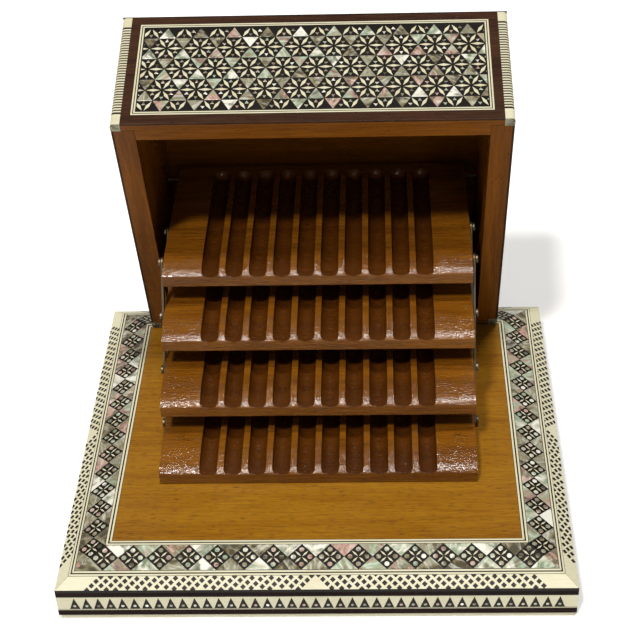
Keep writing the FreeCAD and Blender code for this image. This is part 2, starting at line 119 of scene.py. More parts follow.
def new_group(name, inputs, outputs):
    """An empty node group with named sockets."""
    group = bpy.data.node_groups.new(name, "ShaderNodeTree")
    for direction, sockets in (("INPUT", inputs), ("OUTPUT", outputs)):
        for label, kind in sockets:
            group.interface.new_socket(label, in_out=direction,
                                       socket_type="NodeSocket" + kind)
    return group, add(group, "NodeGroupInput"), add(group, "NodeGroupOutput")


def scaled(tree, vector, amounts):
    """A vector squeezed or drawn out along each axis."""
    return add(tree, "ShaderNodeVectorMath",
               {0: vector, 1: amounts}, operation="MULTIPLY").outputs[0]


def noise(tree, vector, scale=1.0, detail=3.0, rough=0.5, swirl=0.0):
    """A soft random value from 0 to 1, with about scale blotches to a metre."""
    return add(tree, "ShaderNodeTexNoise", {
        "Vector": vector, "Scale": scale, "Detail": detail, "Roughness": rough,
        "Distortion": swirl}).outputs["Fac"]


def spread(tree, value, low, high, to_low=0.0, to_high=1.0):
    """Stretch the part of a value between low and high over a new range."""
    return add(tree, "ShaderNodeMapRange", {
        "Value": value, "From Min": low, "From Max": high,
        "To Min": to_low, "To Max": to_high}).outputs["Result"]


def blend(tree, amount, first, second, kind="MIX"):
    """Mix two colours. Sockets 0, 6 and 7 are the amount and the two colours."""
    node = add(tree, "ShaderNodeMix", data_type="RGBA", blend_type=kind)
    for socket, value in ((0, amount), (6, first), (7, second)):
        if isinstance(value, bpy.types.NodeSocket):
            tree.links.new(value, node.inputs[socket])
        else:
            node.inputs[socket].default_value = value
    return node.outputs[2]


print("node helpers ready")

# %% [markdown]
# ## Wood, as one shared group
# Four woods are on this box: a honey-coloured field, red-brown trays, the orange case
# and the dark frames. They differ in colour, but all have the same three layers:
# broad figure, fine fibres, and short dark pores. A node group holds those layers, and
# each wood gives it a pale and a dark colour. The vector is squeezed across the grain,
# which draws a plain noise out into fibres.

# %% The wood grain group
FIGURE_SQUEEZE = (9, 95, 95)
FIBRE_SQUEEZE = (55, 1300, 1300)
PORE_SQUEEZE = (230, 3300, 3300)
PORE_STAIN = (0.35, 0.28, 0.24, 1)
wood_grain, given, result = new_group(
    "wood_grain",
    [("Vector", "Vector"), ("Pale", "Color"), ("Dark", "Color"), ("Pores", "Float")],
    [("Color", "Color"), ("Height", "Float")])
grain_vector = given.outputs["Vector"]
figure = noise(wood_grain, scaled(wood_grain, grain_vector, FIGURE_SQUEEZE), detail=4,
               swirl=0.8)
fibre = noise(wood_grain, scaled(wood_grain, grain_vector, FIBRE_SQUEEZE), detail=4,
              rough=0.65)
pore_spots = noise(wood_grain, scaled(wood_grain, grain_vector, PORE_SQUEEZE),
                   detail=1)
pores = add(wood_grain, "ShaderNodeMath", {
    0: spread(wood_grain, pore_spots, 0.60, 0.70), 1: given.outputs["Pores"]},
    operation="MULTIPLY").outputs[0]
streak = add(wood_grain, "ShaderNodeMath", {
    0: spread(wood_grain, figure, 0.36, 0.66, 0.0, 0.50),
    1: spread(wood_grain, fibre, 0.38, 0.64, 0.0, 0.60)}, operation="ADD").outputs[0]
coloured = blend(wood_grain, streak, given.outputs["Pale"], given.outputs["Dark"])
pored = blend(wood_grain, pores, coloured,
              blend(wood_grain, 1.0, coloured, PORE_STAIN, "MULTIPLY"))
height = add(wood_grain, "ShaderNodeMath", {
    0: fibre, 1: pores}, operation="SUBTRACT").outputs[0]
for socket, value in (("Color", pored), ("Height", height)):
    wood_grain.links.new(value, result.inputs[socket])
print("wood grain nodes:", len(wood_grain.nodes))

# %% [markdown]
# ## Handling marks, shared too
# Hands and cloths leave a varnish slightly uneven: duller in patches, with fine
# scuffs. This group puts out that unevenness as a mask, and each finish turns it into
# roughness, within its own limits.

# %% The handling group
handling, given, result = new_group(
    "handling", [("Vector", "Vector"), ("Smooth", "Float"), ("Dull", "Float")],
    [("Roughness", "Float")])
patches = noise(handling, given.outputs["Vector"], 38, 3, 0.6)
scuffs = noise(handling, scaled(handling, given.outputs["Vector"], (420, 900, 650)),
               detail=2)
marks = add(handling, "ShaderNodeMath", {
    0: spread(handling, patches, 0.35, 0.7, 0.0, 0.7),
    1: spread(handling, scuffs, 0.45, 0.75, 0.0, 0.5)}, operation="ADD").outputs[0]
worn = add(handling, "ShaderNodeMapRange", {
    "Value": marks, "To Min": given.outputs["Smooth"], "To Max": given.outputs["Dull"]})
handling.links.new(worn.outputs["Result"], result.inputs["Roughness"])


def use_group(tree, group, **inputs):
    """Place a node group in a material with its own values."""
    node = add(tree, "ShaderNodeGroup", node_tree=group)
    for name, value in inputs.items():
        if isinstance(value, bpy.types.NodeSocket):
            tree.links.new(value, node.inputs[name])
        else:
            node.inputs[name].default_value = value
    return node.outputs


print("handling nodes:", len(handling.nodes))

# %% [markdown]
# ## Varnish over the grain
# A brush leaves varnish in small ripples, and on the rounded noses of the trays they
# break the light into sparkles. That ripple is a second, coarser bump over the grain.
# The grooves' hollows are painted darker, as painted shade mixed with a stain of thick
# varnish, and they are duller, wherever the mesh carries the mark called hollow.

# %% A maker of varnished woods
# Painted shade, mixed with a stain of thick varnish, for the grooves' hollows.
HOLLOW_SHADE_AND_STAIN = (0.42, 0.34, 0.30, 1)
HOLLOW_ROUGHER = 0.16
RIPPLE_SQUEEZE = (0.42, 1, 1)


def varnished(name, pale, dark, turn=(0, 0, 0), pores=0.5, smooth=0.24, dull=0.44,
              ripple=0.2, ripple_size=520, coat=0.1, shine=0.25, grooved=False):
    """A wood of two colours under varnish, between smooth and dull in roughness."""
    material, tree, shader = new_material(
        name, Coat_Weight=coat, Coat_Roughness=0.16, Specular_IOR_Level=shine)
    vector = object_vector(tree, turn)
    wood = use_group(tree, wood_grain, Vector=vector, Pale=pale, Dark=dark, Pores=pores)
    rough = use_group(tree, handling, Vector=vector, Smooth=smooth, Dull=dull)
    ripples = noise(tree, scaled(tree, vector, RIPPLE_SQUEEZE), ripple_size, 2, 0.5, 0.4)
    grain_bump = add(tree, "ShaderNodeBump", {
        "Strength": 0.35, "Distance": 0.00012, "Height": wood["Height"]})
    ripple_bump = add(tree, "ShaderNodeBump", {
        "Strength": ripple, "Distance": 0.0006, "Height": ripples,
        "Normal": grain_bump.outputs["Normal"]})
    colour, roughness = wood["Color"], rough["Roughness"]
    if grooved:
        hollow = add(tree, "ShaderNodeAttribute", attribute_name="hollow").outputs["Fac"]
        # Painted shade with some varnish stain: the hollows are multiplied darker.
        darkened = blend(tree, 1.0, colour, HOLLOW_SHADE_AND_STAIN, "MULTIPLY")
        colour = blend(tree, hollow, colour, darkened)
        rougher = spread(tree, hollow, 0, 1, 0, HOLLOW_ROUGHER)
        roughness = add(tree, "ShaderNodeMath", {
            0: roughness, 1: rougher}, operation="ADD").outputs[0]
    tree.links.new(colour, shader.inputs["Base Color"])
    tree.links.new(roughness, shader.inputs["Roughness"])
    tree.links.new(ripple_bump.outputs["Normal"], shader.inputs["Normal"])
    return material


# The groove colour is painted shade mixed with a varnish stain.
print("groove shade and stain:", HOLLOW_SHADE_AND_STAIN[:3])

# %% [markdown]
# ## The woods themselves
# Each wood is a pale and a dark colour, and an amount of shine. The case's boards are
# turned with the case, so their vector is turned back first. On its left and right
# sides it is turned once more, so that the grain runs along the board.

# %% Varnished woods
along_side = (open_angle, 0, -math.pi / 2)
field_wood = varnished("field_wood", (0.26, 0.118, 0.006, 1), (0.165, 0.062, 0.003, 1),
                       pores=0.9, ripple=0.06)
tray_wood = varnished("tray_wood", (0.19, 0.068, 0.004, 1), (0.085, 0.026, 0.002, 1),
                      smooth=0.09, dull=0.20, ripple=0.55, ripple_size=1200, coat=0.0,
                      pores=0.7, shine=0.42, grooved=True)
case_colours = (0.175, 0.056, 0.002, 1), (0.090, 0.026, 0.001, 1)
case_wood = varnished("case_wood", *case_colours, (open_angle, 0, 0), ripple=0.12,
                      coat=0.04, shine=0.15)
side_wood = varnished("side_wood", *case_colours, along_side, ripple=0.12, coat=0.04,
                      shine=0.15)
frame_colours = (0.055, 0.023, 0.010, 1), (0.020, 0.008, 0.005, 1)
frame_wood = varnished("frame_wood", *frame_colours, (open_angle, 0, 0), pores=0.8,
                       ripple=0.06, coat=0.03, shine=0.1)
frame_side_wood = varnished("frame_side_wood", *frame_colours, along_side, pores=0.8,
                            ripple=0.06, coat=0.03, shine=0.1)
rail_wood = varnished("rail_wood", (0.017, 0.008, 0.007, 1), (0.007, 0.004, 0.0035, 1),
                      pores=0.6, ripple=0.05, coat=0.0, shine=0.05, smooth=0.55,
                      dull=0.75)
ebony = varnished("ebony", (0.010, 0.007, 0.005, 1), (0.004, 0.003, 0.0025, 1),
                  pores=0.4, ripple=0.04, smooth=0.36, dull=0.56, coat=0.03, shine=0.15)
print("woods:", sorted(material.name for material in bpy.data.materials))

# %% [markdown]
# ## Bone
# Each tile of the marquetry is sawn from its own scrap, so no two are quite alike. The
# tile maker below gives each tile a number of its own, called tint, and the finishes of
# bone and pearl read it. Bone uses it for a slightly warmer or paler cream, under fine
# lines and the yellowing of age.


# %% Bone
def tint_value(tree):
    """The number that each tile was given when it was made."""
    return add(tree, "ShaderNodeAttribute", attribute_name="tint").outputs["Fac"]


bone, tree, shader = new_material("bone", Specular_IOR_Level=0.3)
vector = object_vector(tree)
lines_in_bone = noise(tree, scaled(tree, vector, (120, 900, 900)), detail=4, swirl=0.5)
darkened = noise(tree, vector, 70, 3)
creamy = blend(tree, tint_value(tree), (0.54, 0.52, 0.375, 1), (0.49, 0.45, 0.305, 1))
lined = blend(tree, spread(tree, lines_in_bone, 0.48, 0.75, 0.0, 0.32), creamy,
              (0.37, 0.30, 0.16, 1))
aged = blend(tree, spread(tree, darkened, 0.5, 0.75, 0.0, 0.25), lined,
             (0.40, 0.33, 0.18, 1))
tree.links.new(aged, shader.inputs["Base Color"])
rough = use_group(tree, handling, Vector=vector, Smooth=0.38, Dull=0.56)
tree.links.new(rough["Roughness"], shader.inputs["Roughness"])
bone_bump = add(tree, "ShaderNodeBump", {"Strength": 0.3, "Distance": 0.00008,
                                         "Height": lines_in_bone})
tree.links.new(bone_bump.outputs["Normal"], shader.inputs["Normal"])
print("bone nodes:", len(tree.nodes))

# %% [markdown]
# ## Mother-of-pearl
# Pearl takes its whole colour from its tint, along a ramp of brown, grey, pink, green
# and near white. Its growth lines are a noise that the tint moves and turns, so that
# they fall differently in each tile. A cloud noise paints parts of each tile darker, a
# painted sheen and shade that stands for the pearl's lustre. A thin film over the
# shader adds the shimmer that changes with the angle.

# %% Pearl
pearl, tree, shader = new_material("pearl", Metallic=0.18, Coat_Weight=0.6,
                                   Coat_Roughness=0.12, Thin_Film_Thickness=360.0,
                                   Thin_Film_IOR=1.45)
vector = object_vector(tree)
tint = tint_value(tree)
shifted = add(tree, "ShaderNodeVectorMath", {0: vector, 1: add(
    tree, "ShaderNodeCombineXYZ", {"X": tint, "Y": tint, "Z": tint}).outputs[0]},
    operation="ADD").outputs[0]
cloud = noise(tree, shifted, 130, 3, 0.55, 1.2)
angle = add(tree, "ShaderNodeMath", {0: tint, 1: 19.0}, operation="MULTIPLY").outputs[0]
turned = add(tree, "ShaderNodeVectorRotate", {"Vector": shifted, "Angle": angle})
growth = noise(tree, scaled(tree, turned.outputs[0], (80, 330, 200)), detail=2,
               swirl=1.6)
place_in_shell = add(tree, "ShaderNodeMath", {
    0: tint, 1: spread(tree, cloud, 0.3, 0.7, -0.24, 0.24)}, operation="ADD").outputs[0]
shell = add(tree, "ShaderNodeValToRGB", {"Fac": place_in_shell})
SHELL_COLOURS = [
    (0.00, (0.075, 0.058, 0.028, 1)), (0.14, (0.22, 0.18, 0.10, 1)),
    (0.28, (0.29, 0.29, 0.20, 1)), (0.40, (0.18, 0.13, 0.065, 1)),
    (0.52, (0.50, 0.30, 0.26, 1)), (0.64, (0.33, 0.29, 0.19, 1)),
    (0.76, (0.27, 0.37, 0.25, 1)), (0.88, (0.50, 0.47, 0.37, 1)),
    (1.00, (0.74, 0.73, 0.64, 1))]
ramp = shell.color_ramp
for spot, colour in SHELL_COLOURS[1:-1]:
    ramp.elements.new(spot)
for element, (spot, colour) in zip(ramp.elements, SHELL_COLOURS):
    element.position, element.color = spot, colour
banded = blend(tree, spread(tree, growth, 0.50, 0.72, 0.0, 0.52),
               shell.outputs["Color"], (0.74, 0.73, 0.65, 1))
# Painted sheen and shade: the cloud darkens parts of each tile towards near black.
shaded = blend(tree, spread(tree, cloud, 0.50, 0.34, 0.0, 0.62), banded,
               (0.06, 0.055, 0.035, 1))
tree.links.new(shaded, shader.inputs["Base Color"])
tree.links.new(spread(tree, growth, 0.3, 0.7, 0.14, 0.34), shader.inputs["Roughness"])
pearl_bump = add(tree, "ShaderNodeBump", {"Strength": 0.35, "Distance": 0.00015,
                                          "Height": growth})
tree.links.new(pearl_bump.outputs["Normal"], shader.inputs["Normal"])
print("pearl nodes:", len(tree.nodes))

# %% [markdown]
# ## Dulled metal
# The links, their pins and the wire are old metal. A fine noise makes their roughness
# uneven, and a coarser one tarnishes them in patches.

# %% Metal
metal, tree, shader = new_material("metal", Metallic=1.0)
vector = object_vector(tree)
brushed = noise(tree, scaled(tree, vector, (900, 240, 240)), detail=3)
tarnish = noise(tree, vector, 160, 4, 0.6)
tree.links.new(blend(tree, spread(tree, tarnish, 0.45, 0.7, 0.0, 0.7),
                     (0.15, 0.12, 0.08, 1), (0.06, 0.045, 0.025, 1)),
               shader.inputs["Base Color"])
tree.links.new(spread(tree, brushed, 0.3, 0.7, 0.34, 0.56), shader.inputs["Roughness"])
metal_bump = add(tree, "ShaderNodeBump", {"Strength": 0.3, "Distance": 0.00006,
                                          "Height": brushed})
tree.links.new(metal_bump.outputs["Normal"], shader.inputs["Normal"])
print("finishes:", sorted(material.name for material in bpy.data.materials))

# %% [markdown]
# ## Two touches for the trays
# Ten grooves run along each tray. Their hollows are marked face by face, so that the
# tray wood can paint them darker, as painted shade mixed with a varnish stain. Sanding
# made the ridges between them fall away towards the front: the tray is cut across a few
# times there, and every point above the grooves' floor is lowered along a curve.

# %% Groove hollows and eased fronts
GROOVE_COUNT, GROOVE_PITCH, GROOVE_WIDTH, GROOVE_DEPTH = 10, 10.9, 8.1, 4.2
HOLLOW_BELOW = 0.15
LEAST_UPWARD, MOST_FORWARD = 0.01, -0.3
RAMP_LENGTH, RAMP_DROP, RAMP_CURVE = 14.0, 2.7, 1.5
RAMP_CUTS = (1.2, 2.5, 4.2, 6.5, 9.0, 11.5, RAMP_LENGTH)


def in_groove(face, top):
    """1 for a face of a groove's hollow, painted darker as shade and stain, and 0 elsewhere."""
    spot = face.calc_center_median()
    across = (spot.x / MM / GROOVE_PITCH) % 1.0 - 0.5
    in_width = (abs(across) * GROOVE_PITCH < GROOVE_WIDTH / 2
                and abs(spot.x) < GROOVE_COUNT / 2 * GROOVE_PITCH * MM)
    below = spot.z < top - HOLLOW_BELOW * MM
    faces_up = face.normal.z > LEAST_UPWARD and face.normal.y > MOST_FORWARD
    return float(in_width and below and faces_up)


def ease_front(bm):
    """Let a tray's ridges fall away towards its front, as sanding left them."""
    front = min(vert.co.y for vert in bm.verts)
    floor_of_grooves = max(vert.co.z for vert in bm.verts) - GROOVE_DEPTH * MM
    for cut in RAMP_CUTS:
        bmesh.ops.bisect_plane(bm, geom=bm.verts[:] + bm.edges[:] + bm.faces[:],
                               dist=1e-7, plane_co=(0, front + cut * MM, 0),
                               plane_no=(0, 1, 0))
    for vert in bm.verts:
        nearness = 1 - (vert.co.y - front) / (RAMP_LENGTH * MM)
        above = (vert.co.z - floor_of_grooves) / (GROOVE_DEPTH * MM)
        if nearness > 0 and above > 0:
            vert.co.z -= RAMP_DROP * MM * nearness ** RAMP_CURVE * min(above, 1)


print("grooves:", GROOVE_COUNT, "of", GROOVE_WIDTH, "mm, every", GROOVE_PITCH, "mm")

# %% [markdown]
# ## Softened edges
# A CAD edge is perfectly sharp, and a real varnished edge never is. The trays, the
# boards, the dark frames and the metal pieces are each copied, their loose triangles
# are merged, and a fine bevel rounds every edge sharper than 35 degrees. The copy
# stands for the CAD piece.

# %% Dress the CAD pieces
SHARP_ANGLE = math.radians(35)


def body_of(node):
    """The moving body that a CAD piece belongs to."""
    return next(body for body, nodes in frame["record"]["behaviour"]["bodies"].items()
                if node in nodes)


def dress(node, material, slot, soft):
    """A copy of a CAD piece with its edges rounded by soft millimetres."""
    bm = bmesh.new()
    bm.from_mesh(frame["nodes"][node].data)
    bmesh.ops.remove_doubles(bm, verts=bm.verts, dist=2e-6)
    bmesh.ops.dissolve_degenerate(bm, edges=bm.edges, dist=1e-6)
    mesh = bpy.data.meshes.new(node + "_finished")
    hollow = bm.faces.layers.float.new("hollow")
    top = max(vert.co.z for vert in bm.verts)
    if slot == "tray_wood":
        ease_front(bm)
    for face in bm.faces:
        face.smooth = True
        # The hollow mark says where the grooves' painted shade and varnish stain go.
        face[hollow] = in_groove(face, top) if slot == "tray_wood" else 0.0
    bm.to_mesh(mesh)
    bm.free()
    made = bpy.data.objects.new(node + "_finished", mesh)
    bpy.context.scene.collection.objects.link(made)
    mesh.materials.clear()
    mesh.materials.append(material)
    rounding = made.modifiers.new("rounded", "BEVEL")
    rounding.width = soft * MM
    rounding.segments = 2
    rounding.limit_method = "ANGLE"
    rounding.angle_limit = SHARP_ANGLE
    rounding.harden_normals = True
    made.modifiers.new("even_shading", "WEIGHTED_NORMAL").keep_sharp = True
    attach(made, body_of(node))
    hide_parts(node)


# %% [markdown]
# ## Which piece gets which finish
# The record names a material slot for each piece. Sheets under the marquetry are ebony,
# because the black of every pattern is the ground that shows between its tiles. The
# two nails in the lowest tray were punched in and filled, so they look like its wood.

# %% Finish every CAD piece
TRAY_EDGE, BOARD_EDGE, FINE_EDGE = 0.45, 0.4, 0.15
slots = {entry["node"]: entry["material_slot"] for entry in frame["record"]["subparts"]}
for node in frame["nodes"]:
    slot = slots[node]
    if node.startswith("tray_") and slot == "tray_wood":
        dress(node, tray_wood, slot, TRAY_EDGE)
    elif node in ("case_left_wall", "case_right_wall"):
        dress(node, side_wood, slot, BOARD_EDGE)
    elif slot == "case_wood":
        dress(node, case_wood, slot, BOARD_EDGE)
    elif node in ("frame_left", "frame_right"):
        dress(node, frame_side_wood, slot, FINE_EDGE)
    elif node.startswith("frame_"):
        dress(node, frame_wood, slot, FINE_EDGE)
    elif node in ("base_core", "bottom_board"):
        dress(node, bone if node == "bottom_board" else rail_wood, slot, FINE_EDGE)
    elif slot == "steel":
        dress(node, tray_wood if node == "tray_nails" else metal, slot, FINE_EDGE)
    else:
        finish = {"field_wood": field_wood, "triangle_inlay": bone}.get(slot, ebony)
        frame["nodes"][node].data.materials.clear()
        frame["nodes"][node].data.materials.append(finish)
print("pieces finished:", len(slots))

# %% [markdown]
# ## A maker of tiles
# All the marquetry is made the same way. Flat shapes are drawn on a panel, in
# millimetres. The panel's edges then cut off what runs past them, as the saw does on
# the real box. Last, every shape is lifted into a thin tile with a small shoulder
# round its top, and the whole sheet is placed on the wood. The shapes start from
# bmesh's circle and grid, so a triangle is a circle of three sides, and a lozenge a
# narrow circle of four.


# %% The marquetry class
class Marquetry:
    """Flat tiles on one panel, which are then cut to it and raised."""

    def __init__(self):
        self.bm = bmesh.new()
        self.tint = self.bm.verts.layers.float.new("tint")

    def shade(self, made, tint):
        """Give all points of a tile one number, drawn at random unless it is given."""
        tint = random.random() if tint is None else tint
        for vert in made["verts"]:
            vert[self.tint] = tint

    def tile(self, sides, x, y, tall, wide=None, turn=0.0, tint=None):
        """A tile of so many sides, tall along its first corner and wide across it."""
        place = (Matrix.Translation((x, y, 0)) @ Matrix.Rotation(turn, 4, "Z")
                 @ Matrix.Diagonal((tall if wide is None else wide, tall, 1, 1)))
        self.shade(bmesh.ops.create_circle(
            self.bm, cap_ends=True, segments=sides, radius=1, matrix=place), tint)

    def strip(self, x, y, tint=None):
        """A straight strip that covers the ranges x and y."""
        middle = ((x[0] + x[1]) / 2, (y[0] + y[1]) / 2, 0)
        place = Matrix.Translation(middle) @ Matrix.Diagonal(
            ((x[1] - x[0]) / 2, (y[1] - y[0]) / 2, 1, 1))
        self.shade(bmesh.ops.create_grid(
            self.bm, x_segments=1, y_segments=1, size=1, matrix=place), tint)

    def cut(self, point, outward):
        """Saw along a line, and drop what lies outward of it."""
        bm = self.bm
        bmesh.ops.bisect_plane(bm, geom=bm.verts[:] + bm.edges[:] + bm.faces[:],
                               dist=1e-5, plane_co=(*point, 0), plane_no=(*outward, 0),
                               clear_outer=True)

    def cut_box(self, half_x, half_y):
        """Saw along all four edges of a panel."""
        for sign in (-1, 1):
            self.cut((sign * half_x, 0), (sign, 0))
            self.cut((0, sign * half_y), (0, sign))


print("tile maker:", Marquetry.__doc__)

# %% [markdown]
# ## Lifting the tiles
# A drawn sheet becomes tiles in four steps. Slivers too small to saw are dropped, the
# flat faces are sunk a little into the wood, an extrusion lifts them to stand just
# proud of it, and an inset gives each tile its small shoulder. All tiles of one
# finish are gathered in one sheet, which is laid as one object.

# %% Raise and lay
SMALLEST_TILE = 0.12
SHOULDER_SLOPE = 0.5


def raise_tiles(maker, sheet, place, proud, shoulder=0.07, sunk=0.2):
    """Turn a drawing into tiles, and add them to a sheet in the object's own place."""
    bm = maker.bm
    chips = [face for face in bm.faces if face.calc_area() < SMALLEST_TILE]
    bmesh.ops.delete(bm, geom=chips, context="FACES")
    bmesh.ops.translate(bm, verts=bm.verts, vec=(0, 0, -sunk))
    made = bmesh.ops.extrude_face_region(bm, geom=bm.faces[:], use_keep_orig=True)
    tops = [item for item in made["geom"] if isinstance(item, bmesh.types.BMFace)]
    lifted = [item for item in made["geom"] if isinstance(item, bmesh.types.BMVert)]
    bmesh.ops.translate(bm, verts=lifted, vec=(0, 0, sunk + proud))
    bmesh.ops.recalc_face_normals(bm, faces=bm.faces)
    bmesh.ops.inset_individual(bm, faces=tops, thickness=shoulder, use_even_offset=True)
    bmesh.ops.translate(bm, verts=list({v for f in tops for v in f.verts}),
                        vec=(0, 0, shoulder * SHOULDER_SLOPE))
    bmesh.ops.transform(bm, verts=bm.verts, matrix=place @ Matrix.Scale(MM, 4))
    mesh = bpy.data.meshes.new("tiles")
    bm.to_mesh(mesh)
    bm.free()
    sheet.from_mesh(mesh)
    bpy.data.meshes.remove(mesh)


def new_sheet():
    """An empty sheet, whose points carry each tile's tint."""
    sheet = bmesh.new()
    sheet.verts.layers.float.new("tint")
    return sheet


def lay(sheet, name, material, body):
    """Make a finished sheet of tiles an object that moves with its body."""
    mesh = bpy.data.meshes.new(name)
    sheet.to_mesh(mesh)
    sheet.free()
    mesh.materials.append(material)
    made = bpy.data.objects.new(name, mesh)
    bpy.context.scene.collection.objects.link(made)
    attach(made, body)
    print(name, "faces:", len(mesh.polygons))


print("smallest tile kept, square mm:", SMALLEST_TILE)

# %% [markdown]
# ## Stars on the walls of the case
# The walls carry a field of six-pointed stars. Each star is six bone petals on a black
# hexagon, with a chip of pearl between each two petals. Large pearl triangles fill
# the gaps between hexagons, point to point, like hourglasses. One spacing, from star
# to star, fixes everything: a hexagon's corners lie half of it from its centre, and a
# triangle's centre a little farther out. Two bone lines run round the field.

# %% Draw a field of stars
STAR_PITCH = 15.0
ROW_PITCH = STAR_PITCH * math.sqrt(3) / 2
HEX_REACH = STAR_PITCH / 2
LINE_BORDER = 2.4
PETAL_OUT, PETAL_REACH, HALF_PETAL = 3.95, 3.1, 0.8
CHIP_OUT, CHIP_TALL, CHIP_WIDE = 4.75, 1.15, 0.95
PEARL_GAP = 0.12


def star_field(half_x, half_y, shift=(0.0, 0.0)):
    """Bone and pearl tiles of one panel, with its lines, cut to half_x and half_y."""
    bones, pearls = Marquetry(), Marquetry()
    rows = int(half_y / ROW_PITCH) + 2
    columns = int(half_x / STAR_PITCH) + 2
    for row in range(-rows, rows + 1):
        for column in range(-columns, columns + 1):
            x = shift[0] + (column + 0.5 * (row % 2)) * STAR_PITCH
            y = shift[1] + row * ROW_PITCH
            if abs(x) > half_x + STAR_PITCH or abs(y) > half_y + STAR_PITCH:
                continue
            for sixth in range(6):
                if sixth % 3 == 0 and abs(y) > half_y - LINE_BORDER - HALF_PETAL:
                    continue
                along = Vector((1, 0)) @ Matrix.Rotation(-sixth * math.pi / 3, 2)
                turn = sixth * math.pi / 3 - math.pi / 2
                petal = Vector((x, y)) + along * PETAL_OUT
                bones.tile(4, *petal, PETAL_REACH, HALF_PETAL, turn=turn)
                between = along @ Matrix.Rotation(-math.pi / 6, 2)
                chip = Vector((x, y)) + between * CHIP_OUT
                pearls.tile(3, *chip, CHIP_TALL, CHIP_WIDE, turn=turn + math.pi / 6)
            reach = HEX_REACH / math.sqrt(3) - PEARL_GAP
            pearls.tile(3, x, y + HEX_REACH * 2 / math.sqrt(3), reach)
            pearls.tile(3, x, y - HEX_REACH * 2 / math.sqrt(3), reach, turn=math.pi)
    for maker in (bones, pearls):
        maker.cut_box(half_x - LINE_BORDER, half_y - LINE_BORDER)
    return bones, pearls


def ring(half_x, half_y, inset, width):
    """A mitred strip of bone round a panel, inset from its edge."""
    maker = Marquetry()
    maker.strip((inset - half_x, half_x - inset), (inset - half_y, half_y - inset),
                tint=0.3)
    plate = maker.bm.faces[:]
    bmesh.ops.inset_region(maker.bm, faces=plate, thickness=width, use_boundary=True,
                           use_even_offset=True)
    bmesh.ops.delete(maker.bm, geom=plate, context="FACES")
    return maker


print("star pitch, mm:", STAR_PITCH)

# %% [markdown]
# ## Onto the walls
# Each wall's panel is drawn flat, with x across it and y up it. A matrix whose columns
# are the wall's across, up and outward directions stands it against the wall of the
# shut case, and the tipped matrix then carries it back with the case.

# %% Set the stars into the four walls
WALLS = {"front": ((1, 0, 0), (0, -1, 0)), "back": ((-1, 0, 0), (0, 1, 0)),
         "left": ((0, -1, 0), (-1, 0, 0)), "right": ((0, 1, 0), (1, 0, 0))}
PROUD = 0.05
STAR_SHIFT = (1.6, -0.35)
LINE_INSETS_AND_WIDTHS = ((0.08, 0.72), (1.22, 0.66))
for wall, (across, outward) in WALLS.items():
    low, high = box_of("mosaic_" + wall, tipped)
    across, outward, upward = Vector(across), Vector(outward), Vector((0, 0, 1))
    size, middle = high - low, (high + low) / 2
    half_x, half_y = abs(size.dot(across)) / 2, size.z / 2
    face = middle + outward * abs(size.dot(outward)) / 2
    plane = Matrix((across, upward, outward)).transposed().to_4x4()
    place = tipped @ Matrix.Translation(face * MM) @ plane
    bones, pearls = star_field(half_x, half_y, STAR_SHIFT)
    bone_sheet, pearl_sheet = new_sheet(), new_sheet()
    raise_tiles(bones, bone_sheet, place, PROUD)
    raise_tiles(pearls, pearl_sheet, place, PROUD)
    for inset, width in LINE_INSETS_AND_WIDTHS:
        raise_tiles(ring(half_x, half_y, inset, width), bone_sheet, place, PROUD)
    lay(bone_sheet, "stars_%s_bone" % wall, bone, "case")
    lay(pearl_sheet, "stars_%s_pearl" % wall, pearl, "case")

# %% [markdown]
# ## Borders that go round a corner
# The base and the top of the case have the same border of four bands. From the outside
# in they are a black and cream lattice, a line, a band of black squares with pearl
# between them, and a second line. On the base the outer bands slope down, like the
# frame of a picture. Each side is drawn flat, cut at its two mitres, and then laid on
# its slope. Here x runs along the side, and y from its outer edge inwards.

# %% One side of a band
MITRE_GAP = 0.07


def band_side(root, side, half_x, half_y, top, run, drop):
    """Place, half length and sloping width of one side of a band, in millimetres."""
    out, along = (half_y, half_x) if side % 2 == 0 else (half_x, half_y)
    place = (root @ Matrix.Rotation(side * math.pi / 2, 4, "Z")
             @ Matrix.Translation(Vector((0, -out, top)) * MM)
             @ Matrix.Rotation(math.atan2(drop, run), 4, "X"))
    return place, along, math.hypot(run, drop)


def cut_mitres(maker, along, run, width):
    """Saw one side of a band at both mitres and along both edges."""
    for sign in (-1, 1):
        maker.cut((sign * (along - MITRE_GAP), 0), (sign * width, run))
    maker.cut((0, MITRE_GAP), (0, -1))
    maker.cut((0, width - MITRE_GAP), (0, 1))


print("mitre gap, mm:", MITRE_GAP)

# %% [markdown]
# ## The plainer bands
# A line is two strips of bone on black. In the pearl band the black squares stand on
# their corners. They are not drawn at all: they are what the two rows of pearl
# triangles leave between them, and only their dots and petals are tiles.

# %% The line and the pearl band
LINE_SHARES = ((0.05, 0.37), (0.60, 0.92))
TIP_GAP, SIDE_GAP, EDGE_GAP = 0.1, 0.3, 0.12
DOT_OUT, DOT_REACH = 3.55, 1.12
LEAF_OUT, LEAF_REACH, HALF_LEAF = 2.15, 1.85, 0.42


def draw_line(along, run, width):
    """Two strips of bone, each over its share of the line's width."""
    bones = Marquetry()
    for low, high in LINE_SHARES:
        bones.strip((-along, along), (low * width, high * width), tint=0.2)
    return {"bone": bones}


